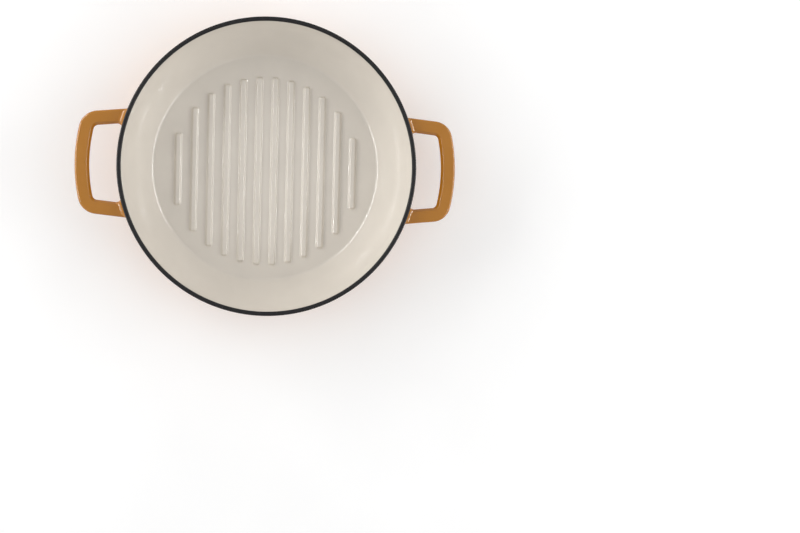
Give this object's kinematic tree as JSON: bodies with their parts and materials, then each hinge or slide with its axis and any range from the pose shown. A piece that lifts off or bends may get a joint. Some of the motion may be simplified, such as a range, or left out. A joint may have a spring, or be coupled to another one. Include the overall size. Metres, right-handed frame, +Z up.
{
  "type": "grill pan",
  "caption": "Round ribbed grill pan in enamelled cast iron with a loop handle on each side.",
  "frame": {"origin": "centre of the flat base's underside, on the surface that the pan stands on", "axes": "+Z up out of the bowl, +X through the two loop handles, +Y along the ribs"},
  "size_m": [0.3566, 0.2798, 0.058],
  "materials": {
    "cast_iron": "as cast, under the enamel",
    "cream_enamel": "gloss",
    "mustard_enamel": "gloss",
    "ground_coat": "satin"
  },
  "bodies": {
    "root": {"iron_bowl": "cast_iron", "iron_handle_right": "cast_iron", "iron_handle_left": "cast_iron", "inner_enamel": "cream_enamel", "wall_enamel": "mustard_enamel", "base_enamel": "mustard_enamel", "handle_enamel_right": "mustard_enamel", "handle_enamel_left": "mustard_enamel", "rim_ground_coat": "ground_coat"}
  },
  "joints": []
}
